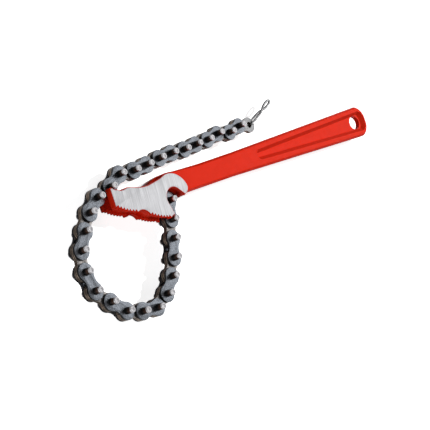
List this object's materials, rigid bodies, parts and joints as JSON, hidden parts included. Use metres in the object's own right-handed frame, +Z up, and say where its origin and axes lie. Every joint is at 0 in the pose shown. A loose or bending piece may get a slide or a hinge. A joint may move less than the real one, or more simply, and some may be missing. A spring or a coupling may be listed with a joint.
{
  "type": "chain pipe wrench",
  "caption": "Forged chain pipe wrench with a forked toothed head, a leaf chain looped and locked behind the horn, and a wire loop at the chain's free end.",
  "frame": {"origin": "middle of the wrench's box, at the floor that it lies on", "axes": "+X along the handle from the head to the grip, +Y towards the free run of the chain, +Z up, along every pin"},
  "size_m": [0.5118, 0.1682, 0.025],
  "materials": {
    "red_enamel": "gloss red enamel over a forging, with the head's two faces and the teeth ground bare",
    "outer_plate_steel": "tumbled blue-grey steel plates with dark oiled pins",
    "inner_plate_steel": "oiled brown-grey steel plates",
    "end_link_steel": "pale nickel-like steel",
    "bright_wire": "bright drawn wire"
  },
  "bodies": {
    "handle": {"handle": "red_enamel"},
    "link_01": {"outer_link_01_far_plate": "outer_plate_steel", "outer_link_01_pinned_plate": "outer_plate_steel"},
    "link_02": {"inner_link_02_far_plate": "inner_plate_steel", "inner_link_02_near_plate": "inner_plate_steel"},
    "link_03": {"outer_link_03_far_plate": "outer_plate_steel", "outer_link_03_pinned_plate": "outer_plate_steel"},
    "link_04": {"inner_link_04_far_plate": "inner_plate_steel", "inner_link_04_near_plate": "inner_plate_steel"},
    "link_05": {"outer_link_05_far_plate": "outer_plate_steel", "outer_link_05_pinned_plate": "outer_plate_steel"},
    "link_06": {"inner_link_06_far_plate": "inner_plate_steel", "inner_link_06_near_plate": "inner_plate_steel"},
    "link_07": {"outer_link_07_far_plate": "outer_plate_steel", "outer_link_07_pinned_plate": "outer_plate_steel"},
    "link_08": {"inner_link_08_far_plate": "inner_plate_steel", "inner_link_08_near_plate": "inner_plate_steel"},
    "link_09": {"outer_link_09_far_plate": "outer_plate_steel", "outer_link_09_pinned_plate": "outer_plate_steel"},
    "link_10": {"inner_link_10_far_plate": "inner_plate_steel", "inner_link_10_near_plate": "inner_plate_steel"},
    "link_11": {"outer_link_11_far_plate": "outer_plate_steel", "outer_link_11_pinned_plate": "outer_plate_steel"},
    "link_12": {"inner_link_12_far_plate": "inner_plate_steel", "inner_link_12_near_plate": "inner_plate_steel"},
    "link_13": {"outer_link_13_far_plate": "outer_plate_steel", "outer_link_13_pinned_plate": "outer_plate_steel"},
    "link_14": {"inner_link_14_far_plate": "inner_plate_steel", "inner_link_14_near_plate": "inner_plate_steel"},
    "link_15": {"outer_link_15_far_plate": "outer_plate_steel", "outer_link_15_pinned_plate": "outer_plate_steel"},
    "link_16": {"inner_link_16_far_plate": "inner_plate_steel", "inner_link_16_near_plate": "inner_plate_steel"},
    "link_17": {"outer_link_17_far_plate": "outer_plate_steel", "outer_link_17_pinned_plate": "outer_plate_steel"},
    "link_18": {"inner_link_18_far_plate": "inner_plate_steel", "inner_link_18_near_plate": "inner_plate_steel"},
    "link_19": {"outer_link_19_far_plate": "outer_plate_steel", "outer_link_19_pinned_plate": "outer_plate_steel"},
    "link_20": {"inner_link_20_far_plate": "inner_plate_steel", "inner_link_20_near_plate": "inner_plate_steel"},
    "link_21": {"outer_link_21_far_plate": "outer_plate_steel", "outer_link_21_pinned_plate": "outer_plate_steel"},
    "link_22": {"inner_link_22_far_plate": "inner_plate_steel", "inner_link_22_near_plate": "inner_plate_steel"},
    "link_23": {"outer_link_23_far_plate": "outer_plate_steel", "outer_link_23_pinned_plate": "outer_plate_steel"},
    "link_24": {"inner_link_24_far_plate": "inner_plate_steel", "inner_link_24_near_plate": "inner_plate_steel"},
    "link_25": {"outer_link_25_far_plate": "outer_plate_steel", "outer_link_25_pinned_plate": "outer_plate_steel"},
    "link_26": {"inner_link_26_far_plate": "inner_plate_steel", "inner_link_26_near_plate": "inner_plate_steel"},
    "link_27": {"outer_link_27_far_plate": "outer_plate_steel", "outer_link_27_pinned_plate": "outer_plate_steel"},
    "end_link": {"end_link_far_plate": "end_link_steel", "end_link_near_plate": "end_link_steel"},
    "wire": {"wire_loop": "bright_wire"}
  },
  "joints": [
    {"name": "pivot_01", "type": "hinge", "parent": "handle", "child": "link_01", "pos_m": [-0.11838, 0.01434, 0.0125], "axis": [0, 0, 1], "range_deg": [-1, 0.4]},
    {"name": "pivot_02", "type": "hinge", "parent": "link_01", "child": "link_02", "pos_m": [-0.12462, -0.00366, 0.0125], "axis": [0, 0, -1], "range_deg": [-0.4, 3.5]},
    {"name": "pivot_03", "type": "hinge", "parent": "link_02", "child": "link_03", "pos_m": [-0.13163, -0.02137, 0.0125], "axis": [0, 0, 1], "range_deg": [-3.5, 0.4]},
    {"name": "pivot_04", "type": "hinge", "parent": "link_03", "child": "link_04", "pos_m": [-0.1391, -0.03889, 0.0125], "axis": [0, 0, -1], "range_deg": [-0.3, 3.5]},
    {"name": "pivot_05", "type": "hinge", "parent": "link_04", "child": "link_05", "pos_m": [-0.15046, -0.05419, 0.0125], "axis": [0, 0, 1], "range_deg": [-3, 0.3]},
    {"name": "pivot_06", "type": "hinge", "parent": "link_05", "child": "link_06", "pos_m": [-0.16396, -0.06763, 0.0125], "axis": [0, 0, -1], "range_deg": [-0.3, 2.5]},
    {"name": "pivot_07", "type": "hinge", "parent": "link_06", "child": "link_07", "pos_m": [-0.18124, -0.07565, 0.0125], "axis": [0, 0, 1], "range_deg": [-1.5, 0.3]},
    {"name": "pivot_08", "type": "hinge", "parent": "link_07", "child": "link_08", "pos_m": [-0.20012, -0.07313, 0.0125], "axis": [0, 0, -1], "range_deg": [-0.4, 1.5]},
    {"name": "pivot_09", "type": "hinge", "parent": "link_08", "child": "link_09", "pos_m": [-0.21812, -0.0669, 0.0125], "axis": [0, 0, 1], "range_deg": [-1.5, 0.4]},
    {"name": "pivot_10", "type": "hinge", "parent": "link_09", "child": "link_10", "pos_m": [-0.23191, -0.05376, 0.0125], "axis": [0, 0, -1], "range_deg": [-0.4, 1.5]},
    {"name": "pivot_11", "type": "hinge", "parent": "link_10", "child": "link_11", "pos_m": [-0.24451, -0.03947, 0.0125], "axis": [0, 0, 1], "range_deg": [-0.4, 30]},
    {"name": "pivot_12", "type": "hinge", "parent": "link_11", "child": "link_12", "pos_m": [-0.24746, -0.02065, 0.0125], "axis": [0, 0, -1], "range_deg": [-30, 0.4]},
    {"name": "pivot_13", "type": "hinge", "parent": "link_12", "child": "link_13", "pos_m": [-0.24362, -0.00199, 0.0125], "axis": [0, 0, 1], "range_deg": [-0.4, 30]},
    {"name": "pivot_14", "type": "hinge", "parent": "link_13", "child": "link_14", "pos_m": [-0.23226, 0.01331, 0.0125], "axis": [0, 0, -1], "range_deg": [-30, 0.8]},
    {"name": "pivot_15", "type": "hinge", "parent": "link_14", "child": "link_15", "pos_m": [-0.21974, 0.02766, 0.0125], "axis": [0, 0, 1], "range_deg": [-0.8, 30]},
    {"name": "pivot_16", "type": "hinge", "parent": "link_15", "child": "link_16", "pos_m": [-0.2043, 0.03883, 0.0125], "axis": [0, 0, -1], "range_deg": [-30, 2]},
    {"name": "pivot_17", "type": "hinge", "parent": "link_16", "child": "link_17", "pos_m": [-0.18598, 0.04404, 0.0125], "axis": [0, 0, 1], "range_deg": [-2.5, 45]},
    {"name": "pivot_18", "type": "hinge", "parent": "link_17", "child": "link_18", "pos_m": [-0.16924, 0.05313, 0.0125], "axis": [0, 0, -1], "range_deg": [-45, 3]},
    {"name": "pivot_19", "type": "hinge", "parent": "link_18", "child": "link_19", "pos_m": [-0.1502, 0.05244, 0.0125], "axis": [0, 0, 1], "range_deg": [-3, 45]},
    {"name": "pivot_20", "type": "hinge", "parent": "link_19", "child": "link_20", "pos_m": [-0.13123, 0.05409, 0.0125], "axis": [0, 0, -1], "range_deg": [-45, 3.5]},
    {"name": "pivot_21", "type": "hinge", "parent": "link_20", "child": "link_21", "pos_m": [-0.11234, 0.05661, 0.0125], "axis": [0, 0, 1], "range_deg": [-4, 45]},
    {"name": "pivot_22", "type": "hinge", "parent": "link_21", "child": "link_22", "pos_m": [-0.09335, 0.05804, 0.0125], "axis": [0, 0, -1], "range_deg": [-45, 5]},
    {"name": "pivot_23", "type": "hinge", "parent": "link_22", "child": "link_23", "pos_m": [-0.0743, 0.05778, 0.0125], "axis": [0, 0, 1], "range_deg": [-6, 45]},
    {"name": "pivot_24", "type": "hinge", "parent": "link_23", "child": "link_24", "pos_m": [-0.0553, 0.05921, 0.0125], "axis": [0, 0, -1], "range_deg": [-45, 7]},
    {"name": "pivot_25", "type": "hinge", "parent": "link_24", "child": "link_25", "pos_m": [-0.03629, 0.06037, 0.0125], "axis": [0, 0, 1], "range_deg": [-9, 45]},
    {"name": "pivot_26", "type": "hinge", "parent": "link_25", "child": "link_26", "pos_m": [-0.01752, 0.06361, 0.0125], "axis": [0, 0, -1], "range_deg": [-45, 12]},
    {"name": "pivot_27", "type": "hinge", "parent": "link_26", "child": "link_27", "pos_m": [0.0014, 0.06132, 0.0125], "axis": [0, 0, 1], "range_deg": [-18, 45]},
    {"name": "pivot_28", "type": "hinge", "parent": "link_27", "child": "end_link", "pos_m": [0.02007, 0.06509, 0.0125], "axis": [0, 0, -1], "range_deg": [-45, 29]},
    {"name": "wire_pivot", "type": "hinge", "parent": "end_link", "child": "wire", "pos_m": [0.04128, 0.06286, 0.0125], "axis": [0, 0, 1], "range_deg": [-38, 75]}
  ]
}
